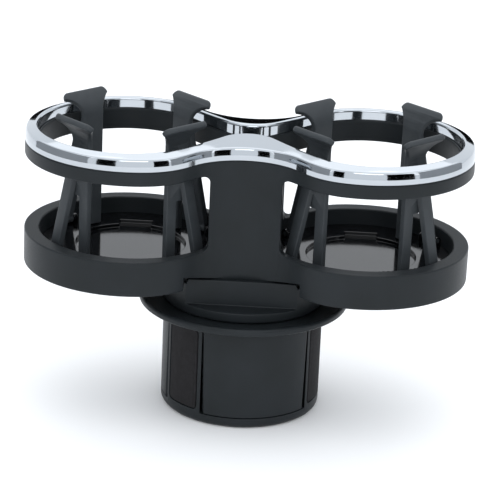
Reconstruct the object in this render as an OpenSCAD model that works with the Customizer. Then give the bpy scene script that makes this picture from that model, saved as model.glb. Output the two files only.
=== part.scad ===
// Twin cup holder for a car. Two cup wells stand on a swivel mount, and a plug
// under it drops into the cup holder of the car and is opened out by a wheel.
// The origin is the centre of the plug's underside. Z points up, X runs from
// well to well and the front looks towards -Y. All sizes are in millimetres.

/* [Plug] */
// Radius of the closed plug
plug_r = 36.5; // [34:0.5:40]
// Height of the plug without its lid
plug_h = 45.7; // [44:0.1:54]
// Thickness of the plug's floor
plug_floor = 4; // [3:0.5:5]
// Height of the closed band round the foot of the plug
rim_h = 5; // [4.6:0.1:6]
// Rounding of the bottom edge
edge_r = 3; // [1:0.5:4]
// Wall of a fixed post
post_wall = 3.5; // [3:0.1:5]
// Angle of the opening between two posts
shoe_angle = 84; // [78:1:90]
// Direction of the front shoe, in degrees from X
shoe_turn = -75; // [-90:1:-60]
// Wall of a shoe
shoe_wall = 2.5; // [2:0.1:3.5]
// Slot beside a shoe at its top
slot_top = 0.8; // [0.5:0.1:1.2]
// Slot beside a shoe at its foot
slot_foot = 2; // [1.2:0.1:3]
// Radius of the boss round the pivot bolt
boss_r = 10; // [9:0.5:12]
// Thickness of the lid
lid_t = 2.6; // [2.2:0.1:4]
// Wall of a pillar round the head of its screw
pillar_wall = 0.6; // [0.4:0.1:0.8]
// Depth that a pillar is let into the wall of its post
pillar_bite = 0.4; // [0.3:0.1:1]

/* [Grip pads] */
// Width of post left on each side of a pad
pad_margin = 2.5; // [2:0.1:5]
// Height of post left above a pad
pad_top_gap = 1.1; // [0.9:0.1:4]
// Height of a pad's lower edge above the table
pad_z = 6.6; // [6:0.1:8]
// Thickness of a pad
pad_t = 1.2; // [0.8:0.1:1.6]
// Rounding of a pad's corners
pad_corner = 1.6; // [0.5:0.1:4]
// Groove left open round a pad
pad_groove = 0.4; // [0.2:0.1:0.8]

/* [Expander] */
// Way that each shoe moves out
travel = 8; // [6:0.5:9]
// Angle that the wheel turns to move the shoes all the way
cam_turn = 60; // [50:1:70]
// Gap between the cam plate and the spacers under the lid
cam_gap = 1.5; // [0.8:0.1:2]
// Thickness of the cam plate
cam_t = 3; // [2.5:0.1:3.5]
// Wall left outside the slots of the cam plate
cam_edge = 1.4; // [1:0.1:2]
// Room between the cam plate and the lid
cam_room = 2; // [1:0.1:3]
// Radius of a shoe pin
pin_r = 1.8; // [1.4:0.1:2]
// Width of the arm of a shoe
arm_w = 9; // [7:0.5:10]
// Thickness of the arm of a shoe
arm_t = 3.1; // [2.6:0.1:3.4]
// Length of the arm beyond its pin
arm_nose = 3.5; // [3:0.1:4]
// Thickness of the rib under the arm
rib_t = 2; // [1.5:0.1:3]
// Thickness of the guide plate
guide_t = 3; // [2.5:0.1:3.4]
// Width of the walls that guide the shoes
rail_w = 2.2; // [1.5:0.1:2.6]
// Distance by which those walls end before the edge
rail_end = 1; // [0.5:0.1:2]
// Width of the foot of a shoe
foot_w = 8; // [6:0.5:10]
// Height of the foot of a shoe
foot_h = 4; // [3:0.5:6]
// Room between the foot of a shoe and the boss
foot_room = 3; // [1:0.5:5]

/* [Wheel] */
// Radius of the wheel
wheel_r = 47.9; // [46:0.1:52]
// Height of the wheel's floor
wheel_t = 2.4; // [2:0.1:3]
// Height of the rim above the underside of the wheel
wheel_rise = 4.1; // [3.6:0.1:6]
// Height of the rim itself
wheel_rim = 1.6; // [1.2:0.1:2.4]
// Radius of the flat under the wheel
wheel_flat_r = 38.5; // [37:0.5:42]
// Way by which the floor is wider inside than under the wheel
wheel_step = 1; // [0.5:0.1:2]
// Radius of the wheel's hub
hub_r = 11; // [10.6:0.1:11.5]

/* [Pivot] */
// Radius of the bolt
bolt_r = 4; // [3:0.1:4.4]
// Radius of the hexagon of head and nut
hex_r = 7.5; // [6.5:0.1:8]
// Height of the bolt's head
bolt_head_h = 5; // [4:0.5:6]
// Height of the head's face above the table
bolt_head_z = 1; // [0.5:0.5:2]
// Radius of the washer
washer_r = 10; // [9:0.5:13]
// Thickness of the washer
washer_t = 1.5; // [1:0.1:2]
// Height of the nut
nut_h = 5.5; // [4:0.5:6]
// Length of the bolt beyond the nut
bolt_over = 1; // [0.5:0.1:2]

/* [Swivel mount] */
// Radius of the mount
mount_r = 36.9; // [36:0.1:38]
// Height of the mount
mount_h = 14.3; // [12.5:0.1:18]
// Wall of the mount
mount_wall = 2.5; // [2:0.1:4]
// Thickness of the mount's floor
mount_floor = 3; // [2.5:0.1:4]
// Height of the ledge under the flat faces
ledge_h = 4.7; // [3.5:0.1:6]
// Rounding of the mount's lower edge
mount_edge = 1.2; // [0.6:0.1:2]
// Distance of the flat faces from the middle
flat_y = 27.1; // [26:0.1:28]
// Height of the tabs above the mount
tab_h = 2.1; // [1:0.1:2.4]
// Thickness of the tabs
tab_t = 2.2; // [1.5:0.1:2.4]
// Slant of the tabs' corners
tab_slant = 0.6; // [0.2:0.1:1.5]

/* [Holder body] */
// Radius of a cup well
well_r = 41.5; // [40:0.1:44]
// Distance between the two wells
well_pitch = 105; // [102:0.5:112]
// Width of the rim round a well
rim_w = 7; // [6:0.1:9]
// Height of the tray's wall
tray_h = 15.9; // [14:0.1:20]
// Height of the window over the tray
window_h = 35.1; // [28:0.1:44]
// Height of the band over the window
band_h = 6.4; // [5:0.1:10]
// Width of the column between the windows
column_w = 32; // [28:0.5:36]
// Rounding of the window corners
window_corner = 3; // [1:0.5:6]
// Half the depth of the body at its waist
waist_half = 23.2; // [22:0.1:24]
// Radius of the hollow of the waist
waist_r = 29.5; // [20:0.5:32]
// Radius of the shoulders between waist and lobes
shoulder_r = 30; // [26:0.5:34]
// Angle round the lobe at which the shoulder starts
shoulder_turn = 102; // [98:1:106]
// Wall of the hollow rim
shell_wall = 2.2; // [1.8:0.1:2.6]
// Wall round the well under the rim
well_wall = 1.8; // [1.4:0.1:2.4]
// Thickness of the deck under the floor plates
deck_t = 1.8; // [1.4:0.1:2.4]
// Height of the deck's underside above the body's underside
deck_rise = 3; // [2.8:0.1:4]
// Height of the recess over the tabs of the mount
notch_h = 5.4; // [4.5:0.1:7]
// Half the width of that recess
notch_half = 25.8; // [25.6:0.1:28]
// Height that the inner lip hangs below the band
skirt_h = 1.6; // [1:0.1:3]
// Height of the upstand inside the chrome trim
upstand_h = 2; // [1:0.1:2.4]
// Thickness of the cover under the body
cover_t = 1.6; // [1.2:0.1:2]
// Distance of the cover screws from the wall of the well
cover_screw_in = 6; // [5:0.5:8]
// Angle between the cover screws
cover_screw_turn = 55; // [45:1:60]

/* [Chrome trim] */
// Distance that the trim leaves open round the well edge
trim_step = 1; // [0.8:0.1:2]
// Half the depth of the channel between the two mouths
mouth_half = 6.3; // [5:0.1:9]
// Radius of the bulge of that channel
mouth_waist_r = 15; // [10:0.5:18]
// Radius of the mouth's shoulders
mouth_shoulder_r = 34; // [30:0.5:38]
// Angle round the mouth at which its shoulder starts
mouth_turn = 77; // [70:1:84]
// Height of the upright face of the trim
trim_face_h = 2.7; // [2:0.1:4]
// Height of the slanted face over it
trim_slant_h = 3.1; // [2:0.1:5]
// Way that the slanted face leans inwards
trim_slant_in = 0.8; // [0.4:0.1:2]
// Rise of the top face towards the well
trim_rise = 1.3; // [0.8:0.1:2]
// Further rise at the waist
trim_waist_rise = 0.8; // [0:0.1:1.5]
// Rounding of the inner edge
trim_edge = 1.5; // [0.8:0.1:2.4]

/* [Floor plates] */
// Height of a plate's outer ring above the deck
plate_h = 3.6; // [3:0.1:5]
// Depth of the pan in the middle
pan_depth = 1.7; // [1:0.1:1.9]
// Radius of the pan
pan_r = 25; // [22:0.5:25.5]
// Width of the notches at the front and back of the pan
pan_notch_w = 15; // [10:0.5:18]
// Radius that the notches reach
pan_notch_r = 30; // [28:0.5:31]
// Wall of the hollow ring of a plate
plate_wall = 2; // [1.6:0.1:2.4]

/* [Claws] */
// Radius of the face that touches the cup
claw_r = 28; // [27:0.1:28.4]
// Width of a claw's strip
claw_w = 11; // [10:0.5:12]
// Width of each of a claw's two legs
leg_w = 5.6; // [5:0.1:6]
// Thickness of a claw's strip
claw_t = 2.7; // [2.2:0.1:3.2]
// Thickness of a claw's brace
brace_t = 3.1; // [2.4:0.1:3.4]
// Distance of the claws' pivots from the middle of the well
claw_pivot_r = 36.5; // [36.2:0.1:36.6]
// Distance of a claw's foot from the middle line of its strip
foot_aside = 8.3; // [7.8:0.1:8.4]
// Distance of the brace's upper end from the middle line of the strip
brace_aside = 2.2; // [1.6:0.1:2.4]
// Radius of a claw's knuckle
knuckle_r = 2; // [1.9:0.1:2.2]
// Radius of a claw's pivot pin
claw_pin_r = 1.2; // [1:0.1:1.3]
// Thickness of the ears that hold the pivot pins
ear_t = 2; // [1.6:0.1:2.2]
// Width of the upper end of the gap between strip and brace
claw_fork = 0.6; // [0.4:0.1:2]
// Height above the floor ring at which the brace joins the strip
claw_join = 54.5; // [52:0.5:56]
// Height of a claw above the floor ring
claw_h = 64.5; // [64:0.5:70]
// Radius of the bend of the lip
lip_bend_r = 14; // [12:0.5:16]
// Angle of the bend of the lip
lip_bend = 56; // [50:1:60]
// Width of the lip
lip_w = 24.5; // [22:0.5:26]
// Distance of the lip's middle from the middle line of the strip
lip_aside = 1.4; // [0:0.1:2]
// Height over which the lip widens
lip_flare_h = 9.5; // [8:0.1:10.5]
// Rounding of the lip's corners
lip_corner = 2.4; // [1:0.1:3]

/* [Screws and clearances] */
// Radius of the shank of the lid screws
lid_screw_r = 1.4; // [1:0.1:1.6]
// Length of a lid screw inside the post of the plug
lid_screw_grip = 12; // [6:1:16]
// Radius of the shank of the small screws
small_screw_r = 1.2; // [1:0.1:1.4]
// Distance of the mount screws from the middle of their well, along X
mount_screw_in = 34.5; // [34:0.1:35]
// Distance of the mount screws from the middle, along Y
mount_screw_y = 12; // [10:0.5:14]
// Material left under the bore of a mount screw
bore_floor = 1; // [0.8:0.1:2]
// Radius of a screw head
head_r = 2.6; // [2:0.1:2.8]
// Height of a screw head
head_h = 1.3; // [1:0.1:1.4]
// Gap between faces that slide past each other
slide_gap = 0.3; // [0.2:0.05:0.4]
// Radial clearance of a shaft in its bore
bore_gap = 0.08; // [0.03:0.01:0.1]

/* [Hidden] */
$fn = 96;
eps = 0.1;
merge = 0.02;
part_angle = 120;
arc_step = 6;
// Spacing of the trim's sections and how many of them one direction is taken over
trim_gap = 2.5;
trim_span = 2;
slot_steps = 16;
slot_over = 2;
waist_share = 0.99;
trim_bulge = [0.4, 0.45];
trim_chamfer = 0.3;
plastic = "#2b2f31";
pad_black = "#343233";
gloss_black = "#17191b";
chrome = "#c9ced3";
steel = "#9a9da0";

// Heights of the plug's inner parts
shoe_z = rim_h + slide_gap + eps;
shoe_h = plug_h - slide_gap - shoe_z;
lid_top = plug_h + lid_t;
wheel_z = lid_top + slide_gap;
cam_top = plug_h - cam_room;
cam_z = cam_top - cam_t;
arm_top = cam_z - slide_gap;
arm_z = arm_top - arm_t;
guide_top = arm_z - slide_gap;
guide_z = guide_top - guide_t;

// Places of the plug's inner parts
post_inner_r = plug_r - post_wall;
shoe_inner_r = plug_r - shoe_wall;
shoe_half = plug_r * sin(shoe_angle / 2);
pad_half = plug_r * sin((part_angle - shoe_angle) / 2) - pad_margin;
pad_h = plug_h - pad_top_gap - pad_z;
post_turn = shoe_turn - part_angle / 2;
pillar_r = head_r + pillar_wall;
pillar_at = post_inner_r + pillar_bite - pillar_r;
spacer_r = pillar_r - pillar_bite - eps;
cam_r = pillar_at - spacer_r - cam_gap;
pin_start = cam_r - cam_edge - slide_gap - pin_r - travel;
arm_start = pin_start - arm_nose;
foot_start = boss_r + slide_gap + foot_room;
cam_lead = travel / cam_turn;
cam_screw_at = (bolt_r + hub_r) / 2;
cam_head_r = min(head_r, arm_start - cam_screw_at * cos(part_angle / 2) - slide_gap);

// Heights of the upper parts
wheel_top = wheel_z + wheel_t;
mount_z = wheel_top + slide_gap;
mount_top = mount_z + mount_h;
washer_z = mount_z + mount_floor;
nut_z = washer_z + washer_t;
body_z = mount_top;
cover_top = body_z + cover_t;
deck_z = body_z + deck_rise;
deck_top = deck_z + deck_t;
tray_top = body_z + tray_h;
band_z = tray_top + window_h;
band_top = band_z + band_h;
plate_top = deck_top + plate_h;
pan_top = plate_top - pan_depth;
lobe_r = well_r + rim_w;
half_pitch = well_pitch / 2;
mouth_r = well_r + trim_step;
hollow_from = notch_half + shell_wall;
mount_screw_at = [half_pitch - mount_screw_in, mount_screw_y];
claw_pivot_z = plate_top + slide_gap + knuckle_r;
claw_top = plate_top + claw_h;
claw_back = claw_r + claw_t;
brace_foot = [claw_pivot_r, claw_pivot_z];
brace_top = [claw_back - brace_t / 2, plate_top + claw_join];
brace_along = (brace_top - brace_foot) / norm(brace_top - brace_foot);
brace_half = brace_t / 2 * [brace_along.y, -brace_along.x];
fork_z = brace_at(-1, claw_back + claw_fork).y;
strip_z = plate_top + slide_gap;
ear_at = leg_w / 2 + slide_gap + eps;

// Points of an arc round c from angle a0 to a1, without those before the first
function arc(c, r, a0, a1, first = 0) =
    let (n = max(1, ceil(abs(a1 - a0) / arc_step)))
    [for (i = [first:n]) let (a = a0 + (a1 - a0) * i / n) c + r * [cos(a), sin(a)]];

// Largest waist radius that still meets the shoulder at s
function waist_limit(s, shoulder, half) =
    (s.x * s.x + (s.y - half) * (s.y - half) - shoulder * shoulder) / (2 * (shoulder + s.y - half));

// Quarter of an outline: lobe, shoulder, straight flank and hollow waist. The
// step moves the whole outline inwards without moving its centres.
function quarter(lobe, shoulder, turn, waist, half, step) =
    let (s = [half_pitch, 0] + (lobe - shoulder) * [cos(turn), sin(turn)],
         w = min(waist, waist_share * waist_limit(s, shoulder, half)),
         c = [0, half + w],
         flank = atan2(c.y - s.y, c.x - s.x) - acos((shoulder + w) / norm(c - s)))
    concat(arc([half_pitch, 0], lobe - step, 0, turn),
           arc(s, shoulder - step, turn, flank, 1),
           arc(c, w + step, flank - 180, -90));

// The quarter mirrored into the whole closed outline
function whole(q) =
    let (n = len(q) - 1)
    concat(q,
           [for (i = [n - 1:-1:0]) [-q[i].x, q[i].y]],
           [for (i = [1:n]) [-q[i].x, -q[i].y]],
           [for (i = [n - 1:-1:1]) [q[i].x, -q[i].y]]);

function body_line(step) =
    whole(quarter(lobe_r, shoulder_r, shoulder_turn, waist_r, waist_half, step));
function mouth_line(step) =
    whole(quarter(mouth_r, mouth_shoulder_r, mouth_turn, mouth_waist_r, mouth_half, step));

// Rectangle with rounded corners, given by its half sizes
function round_rect(hx, hy, r) =
    concat(arc([hx - r, hy - r], r, 0, 90), arc([r - hx, hy - r], r, 90, 180),
           arc([r - hx, r - hy], r, 180, 270), arc([hx - r, r - hy], r, 270, 360));

module tube(r_out, r_in, h) {
    difference() {
        cylinder(r = r_out, h = h);
        translate([0, 0, -eps]) cylinder(r = r_in, h = h + 2 * eps);
    }
}

// Outline drawn in the plane of Y and Z, pushed out along X
module push_x(h) {
    rotate([90, 0, 90]) linear_extrude(h) children();
}

// Outline drawn in the plane of X and Z, pushed to both sides along Y
module push_y(w) {
    rotate([90, 0, 0]) translate([0, 0, -w / 2]) linear_extrude(w) children();
}

module each_third(first) {
    for (i = [0:2]) rotate(first + i * part_angle) children();
}

module each_well() {
    for (side = [-1, 1]) translate([side * half_pitch, 0, 0]) children();
}

module screw(top_r, shank_r, shank_l) {
    cylinder(r = top_r, h = head_h);
    translate([0, 0, -shank_l]) cylinder(r = shank_r, h = shank_l + eps);
}

// Plug: cup, lid, pads and the parts that stand still in it

module cup_floor() {
    rotate_extrude()
        polygon(concat([[0, 0]], arc([plug_r - edge_r, edge_r], edge_r, 270, 360),
                       [[plug_r, rim_h], [post_inner_r, rim_h],
                        [post_inner_r, plug_floor], [0, plug_floor]]));
}

module posts() {
    difference() {
        translate([0, 0, rim_h - eps]) tube(plug_r, post_inner_r, plug_h - rim_h + eps);
        each_third(shoe_turn)
            translate([0, -shoe_half, rim_h]) cube([2 * plug_r, 2 * shoe_half, plug_h]);
    }
}

module foot_rails() {
    rail_l = post_inner_r - rail_end - foot_start;
    gap = foot_w / 2 + slide_gap;
    each_third(shoe_turn) translate([foot_start, 0, plug_floor - eps]) {
        for (side = [-1, 1])
            translate([0, side * (gap + rail_w / 2) - rail_w / 2, 0])
                cube([rail_l, rail_w, foot_h]);
        translate([0, -gap - eps, 0]) cube([rail_l, 2 * gap + 2 * eps, rim_h - plug_floor + eps]);
    }
}

module base_cup() {
    color(plastic) difference() {
        union() {
            cup_floor();
            posts();
            foot_rails();
            translate([0, 0, plug_floor - eps]) cylinder(r = boss_r, h = guide_z - plug_floor + eps);
            each_third(post_turn)
                translate([pillar_at, 0, plug_floor - eps])
                    cylinder(r = pillar_r, h = guide_z - plug_floor + eps);
        }
        each_third(post_turn) {
            pad_shape(plug_r - pad_t - eps / 2, 2 * plug_r, pad_groove);
            translate([pillar_at, 0, guide_z / 2])
                cylinder(r = lid_screw_r + bore_gap, h = guide_z);
        }
        translate([0, 0, -eps]) cylinder(r = bolt_r + bore_gap, h = guide_z + 2 * eps);
        translate([0, 0, -eps])
            cylinder(r = hex_r + slide_gap, h = bolt_head_z + bolt_head_h + eps, $fn = 6);
    }
}

// Curved pad between two radii, made larger all round by grow
module pad_shape(r_in, r_out, grow) {
    intersection() {
        translate([0, 0, pad_z - 2 * pad_groove]) tube(r_out, r_in, pad_h + 4 * pad_groove);
        translate([0, 0, pad_z + pad_h / 2])
            push_x(2 * plug_r)
                polygon(round_rect(pad_half + grow, pad_h / 2 + grow, pad_corner + grow));
    }
}

module grip_pad(i) {
    color(pad_black) rotate(post_turn + i * part_angle)
        pad_shape(plug_r - pad_t, plug_r, 0);
}

module base_lid() {
    color(plastic) translate([0, 0, plug_h]) difference() {
        tube(plug_r, hub_r + bore_gap, lid_t);
        each_third(post_turn) translate([pillar_at, 0, -eps]) {
            cylinder(r = lid_screw_r + bore_gap, h = lid_t + 2 * eps);
            translate([0, 0, lid_t - head_h]) cylinder(r = head_r + slide_gap, h = lid_t);
        }
    }
}

module lid_screws() {
    color(steel) each_third(post_turn)
        translate([pillar_at, 0, lid_top - head_h])
            screw(head_r, lid_screw_r, lid_top - head_h - guide_z + lid_screw_grip);
}

module guide_plate() {
    rail_l = cam_r - rail_end - arm_start;
    gap = arm_w / 2 + slide_gap;
    color(plastic) difference() {
        union() {
            translate([0, 0, guide_z]) cylinder(r = cam_r, h = guide_t);
            each_third(shoe_turn)
                for (side = [-1, 1])
                    translate([arm_start, side * (gap + rail_w / 2) - rail_w / 2, guide_top - eps])
                        cube([rail_l, rail_w, arm_t]);
            each_third(post_turn) {
                translate([0, -pillar_r, guide_z]) cube([pillar_at, 2 * pillar_r, guide_t]);
                translate([pillar_at, 0, guide_z]) cylinder(r = spacer_r, h = plug_h - guide_z);
            }
        }
        translate([0, 0, guide_z - eps]) cylinder(r = bolt_r + bore_gap, h = guide_t + 2 * eps);
        each_third(post_turn) translate([pillar_at, 0, guide_z - eps])
            cylinder(r = lid_screw_r + bore_gap, h = plug_h - guide_z + 2 * eps);
    }
}

// Shoes: a curved wall with a foot at the bottom and an arm that carries the pin

module shoe_wall_part() {
    half_top = shoe_half - slot_top;
    half_foot = shoe_half - slot_foot;
    intersection() {
        translate([0, 0, shoe_z]) tube(plug_r, shoe_inner_r, shoe_h);
        push_x(2 * plug_r)
            polygon([[-half_foot, 0], [half_foot, 0], [half_top, plug_h], [-half_top, plug_h]]);
    }
}

module shoe(i) {
    inner = shoe_inner_r + shoe_wall / 2;
    color(plastic) rotate(shoe_turn + i * part_angle) {
        shoe_wall_part();
        translate([arm_start, -arm_w / 2, arm_z]) cube([inner - arm_start, arm_w, arm_t]);
        translate([foot_start, -foot_w / 2, shoe_z]) cube([inner - foot_start, foot_w, foot_h]);
        translate([shoe_inner_r - 2 * rib_t, -rib_t / 2, shoe_z + eps])
            cube([2 * rib_t + shoe_wall / 2, rib_t, arm_z - shoe_z]);
        translate([pin_start, 0, arm_top - eps])
            cylinder(r = pin_r, h = cam_top - slide_gap - arm_top + eps);
    }
}

// Wheel, cam plate and their screws turn together

// Slot that takes a pin outwards at a steady rate as the plate turns
module cam_slot() {
    half = pin_r + slide_gap;
    turns = [for (i = [0:slot_steps]) (cam_turn + 2 * slot_over) * i / slot_steps - slot_over];
    polygon(concat(
        [for (a = turns) (pin_start + a * cam_lead - half) * [cos(a), -sin(a)]],
        [for (k = [len(turns) - 1:-1:0])
            (pin_start + turns[k] * cam_lead + half) * [cos(turns[k]), -sin(turns[k])]]));
    for (a = [0, cam_turn])
        translate((pin_start + a * cam_lead) * [cos(a), -sin(a)]) circle(r = half + merge);
}

module cam_plate() {
    color(gloss_black) difference() {
        translate([0, 0, cam_z]) cylinder(r = cam_r, h = cam_t);
        translate([0, 0, cam_z - eps]) {
            cylinder(r = bolt_r + bore_gap, h = cam_t + 2 * eps);
            each_third(shoe_turn) linear_extrude(cam_t + 2 * eps) cam_slot();
            each_third(post_turn) translate([cam_screw_at, 0, 0])
                cylinder(r = small_screw_r + bore_gap, h = cam_t + 2 * eps);
        }
    }
}

module cam_screws() {
    color(steel) each_third(post_turn) translate([cam_screw_at, 0, cam_z - head_h])
        rotate([180, 0, 0]) translate([0, 0, -head_h])
            screw(cam_head_r, small_screw_r, cam_t + wheel_t);
}

module grip_wheel() {
    rim_z = wheel_rise - wheel_rim;
    lip = wheel_rim / 2;
    color(plastic) difference() {
        union() {
            translate([0, 0, wheel_z]) rotate_extrude()
                polygon(concat(
                    [[0, 0], [wheel_flat_r, 0], [wheel_r - lip, rim_z]],
                    arc([wheel_r - lip, rim_z + lip], lip, -60, 60),
                    [[wheel_r - lip, wheel_rise], [wheel_r - 2 * lip, wheel_rise - lip / 2],
                     [wheel_flat_r + wheel_step, wheel_t], [0, wheel_t]]));
            translate([0, 0, cam_top]) cylinder(r = hub_r, h = wheel_z - cam_top + eps);
        }
        translate([0, 0, cam_top - eps]) cylinder(r = bolt_r + bore_gap, h = wheel_top);
        each_third(post_turn) translate([cam_screw_at, 0, cam_top - eps])
            cylinder(r = small_screw_r + bore_gap, h = wheel_t + 2 * eps);
    }
}

// Pivot bolt with its washer and nut

module pivot_bolt() {
    color(steel) {
        translate([0, 0, bolt_head_z]) cylinder(r = hex_r, h = bolt_head_h, $fn = 6);
        translate([0, 0, bolt_head_z + bolt_head_h - eps])
            cylinder(r = bolt_r, h = nut_z + nut_h + bolt_over - bolt_head_z - bolt_head_h + eps);
    }
}

module pivot_washer() {
    color(steel) translate([0, 0, washer_z]) tube(washer_r, bolt_r + bore_gap, washer_t);
}

module pivot_nut() {
    color(steel) translate([0, 0, nut_z]) difference() {
        cylinder(r = hex_r, h = nut_h, $fn = 6);
        translate([0, 0, -eps]) cylinder(r = bolt_r + bore_gap, h = nut_h + 2 * eps);
    }
}

// Swivel mount that carries the holder body

module mount_block(r, y, z0, z1) {
    translate([0, 0, z0]) intersection() {
        cylinder(r = r, h = z1 - z0);
        translate([-2 * r, -y, -eps]) cube([4 * r, 2 * y, z1 - z0 + 2 * eps]);
    }
}

module at_mount_screws() {
    for (x = [-1, 1], y = [-1, 1])
        translate([x * mount_screw_at.x, y * mount_screw_at.y, 0]) children();
}

module swivel_mount() {
    half = sqrt(mount_r * mount_r - flat_y * flat_y) - slide_gap;
    color(plastic) difference() {
        union() {
            difference() {
                union() {
                    translate([0, 0, mount_z]) rotate_extrude()
                        polygon(concat([[0, 0]],
                            arc([mount_r - mount_edge, mount_edge], mount_edge, 270, 360),
                            [[mount_r, ledge_h], [0, ledge_h]]));
                    mount_block(mount_r, flat_y, mount_z + ledge_h - eps, mount_top);
                }
                mount_block(mount_r - mount_wall, flat_y - mount_wall, washer_z, mount_top + eps);
            }
            for (side = [-1, 1])
                translate([0, side * (flat_y - tab_t / 2), mount_top])
                    push_y(tab_t) polygon([[-half, -tab_h], [half, -tab_h], [half, tab_h - 2 * tab_slant],
                                           [half - tab_slant, tab_h], [tab_slant - half, tab_h],
                                           [-half, tab_h - 2 * tab_slant]]);
            at_mount_screws() translate([0, 0, washer_z - eps])
                cylinder(r = pillar_r, h = mount_top - washer_z + eps);
        }
        at_mount_screws() translate([0, 0, washer_z + bore_floor])
            cylinder(r = lid_screw_r + bore_gap, h = mount_top);
        translate([0, 0, mount_z - eps]) cylinder(r = bolt_r + bore_gap, h = mount_floor + 2 * eps);
    }
}

module mount_screws() {
    color(steel) at_mount_screws() translate([0, 0, deck_top])
        screw(head_r, lid_screw_r, deck_top - washer_z - 2 * bore_floor);
}

// Holder body: one moulding with tray, columns and band

module notch(h, grow) {
    for (side = [0, 1]) mirror([0, side, 0])
        translate([-notch_half - grow, -2 * lobe_r, 0])
            cube([2 * (notch_half + grow), 2 * lobe_r - flat_y + tab_t + slide_gap + grow, h]);
}

module window_line() {
    x0 = column_w / 2;
    far = half_pitch + 2 * lobe_r;
    polygon(concat(arc([x0 + window_corner, tray_top + window_corner], window_corner, 180, 270),
                   [[far, tray_top], [far, band_z]],
                   arc([x0 + window_corner, band_z - window_corner], window_corner, 90, 180)));
}

module at_cover_screws() {
    r = well_r - cover_screw_in;
    for (side = [-1, 1], a = cover_screw_turn * [-1, 0, 1])
        translate([side * (half_pitch + r * cos(a)), r * sin(a), 0]) children();
}

module shell_solid() {
    difference() {
        translate([0, 0, body_z]) linear_extrude(band_top - body_z) polygon(body_line(0));
        each_well() translate([0, 0, deck_top]) cylinder(r = well_r, h = tray_top - deck_top + eps);
        translate([0, 0, tray_top]) linear_extrude(band_top - tray_top + eps)
            polygon(mouth_line(trim_step));
        for (side = [0, 1]) mirror([side, 0, 0]) push_y(4 * lobe_r) window_line();
    }
    translate([0, 0, band_z - skirt_h]) linear_extrude(skirt_h + eps) difference() {
        polygon(mouth_line(trim_step - well_wall));
        polygon(mouth_line(trim_step));
    }
    translate([0, 0, band_top - eps]) linear_extrude(upstand_h + eps) difference() {
        polygon(mouth_line(slide_gap / 2));
        polygon(mouth_line(trim_step));
    }
}

module shell_hollow() {
    translate([0, 0, body_z - eps]) linear_extrude(cover_t + eps) polygon(body_line(shell_wall));
    for (side = [0, 1]) mirror([side, 0, 0]) intersection() {
        union() {
            translate([0, 0, body_z - eps]) linear_extrude(tray_h - shell_wall) difference() {
                polygon(body_line(shell_wall));
                translate([half_pitch, 0]) circle(r = well_r + well_wall);
            }
            translate([0, 0, body_z]) linear_extrude(deck_rise) polygon(body_line(shell_wall));
        }
        translate([hollow_from, -2 * lobe_r, 0]) cube([4 * lobe_r, 4 * lobe_r, tray_top]);
    }
}

module body_shell() {
    color(plastic) difference() {
        union() {
            difference() {
                shell_solid();
                shell_hollow();
                difference() {
                    translate([0, 0, body_z - eps]) notch(notch_h + eps, 0);
                    each_well() translate([0, 0, body_z - 2 * eps])
                        cylinder(r = well_r + well_wall, h = tray_h);
                }
                translate([0, 0, body_z - eps]) notch(tab_h + slide_gap + eps, 0);
            }
            at_cover_screws() translate([0, 0, cover_top]) cylinder(r = pillar_r, h = deck_top - cover_top);
        }
        at_mount_screws() translate([0, 0, body_z])
            cylinder(r = lid_screw_r + bore_gap, h = tray_h);
        at_cover_screws() translate([0, 0, body_z - eps])
            cylinder(r = small_screw_r + bore_gap, h = deck_z - body_z + deck_t / 2);
    }
}

module bottom_cover() {
    color(plastic) translate([0, 0, body_z]) difference() {
        linear_extrude(cover_t) polygon(body_line(shell_wall + slide_gap / 2));
        translate([0, 0, -eps]) notch(cover_t + 2 * eps, eps);
        at_mount_screws() translate([0, 0, -eps])
            cylinder(r = lid_screw_r + bore_gap, h = cover_t + 2 * eps);
        at_cover_screws() translate([0, 0, -eps]) {
            cylinder(r = small_screw_r + bore_gap, h = cover_t + 2 * eps);
            cylinder(r = head_r + slide_gap, h = head_h + eps);
        }
    }
}

module cover_screws() {
    color(steel) at_cover_screws() translate([0, 0, body_z + head_h])
        rotate([180, 0, 0]) screw(head_r, small_screw_r, deck_rise - head_h + deck_t / 2 - eps);
}

// Chrome trim: one loft from the outer outline to the mouth outline

// Corners of the trim's section where it is w wide: distance from the outer
// edge, then height above the band
function trim_section(w, wide) =
    let (shoulder = trim_face_h + trim_slant_h,
         top = shoulder + trim_rise + trim_waist_rise * wide)
    [[0, 0], [0, trim_face_h],
     [trim_slant_in * trim_bulge.x, trim_face_h + trim_slant_h * trim_bulge.y],
     [trim_slant_in, shoulder], [w - trim_edge, top],
     [w - trim_edge * trim_chamfer, top - trim_edge * trim_chamfer], [w, top - trim_edge], [w, 0]];

module chrome_trim() {
    outer = dense(body_line(0), trim_gap);
    inner = mouth_line(0);
    n = len(outer);
    inward = [for (i = [0:n - 1])
        let (t = outer[(i + trim_span) % n] - outer[(i + n - trim_span) % n])
        [-t.y, t.x] / norm(t)];
    widths = [for (i = [0:n - 1]) reach(outer[i], inward[i], inner)];
    narrow = min(widths);
    wide = max(widths);
    corners = [for (i = [0:n - 1])
        for (p = trim_section(widths[i], (widths[i] - narrow) / (wide - narrow)))
            [outer[i].x + inward[i].x * p.x, outer[i].y + inward[i].y * p.x, band_top + p.y]];
    m = len(corners) / n;
    color(chrome) polyhedron(corners,
        [for (i = [0:n - 1], j = [0:m - 1])
            let (a = i * m + j, b = i * m + (j + 1) % m,
                 c = ((i + 1) % n) * m + (j + 1) % m, d = ((i + 1) % n) * m + j)
            each [[a, b, c], [a, c, d]]]);
}

// Closed line with more points, none farther from the next one than gap
function dense(line, gap) =
    [for (i = [0:len(line) - 1])
        let (p = line[i], q = line[(i + 1) % len(line)], n = ceil(norm(q - p) / gap))
        for (k = [0:n - 1]) p + (q - p) * k / n];

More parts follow.
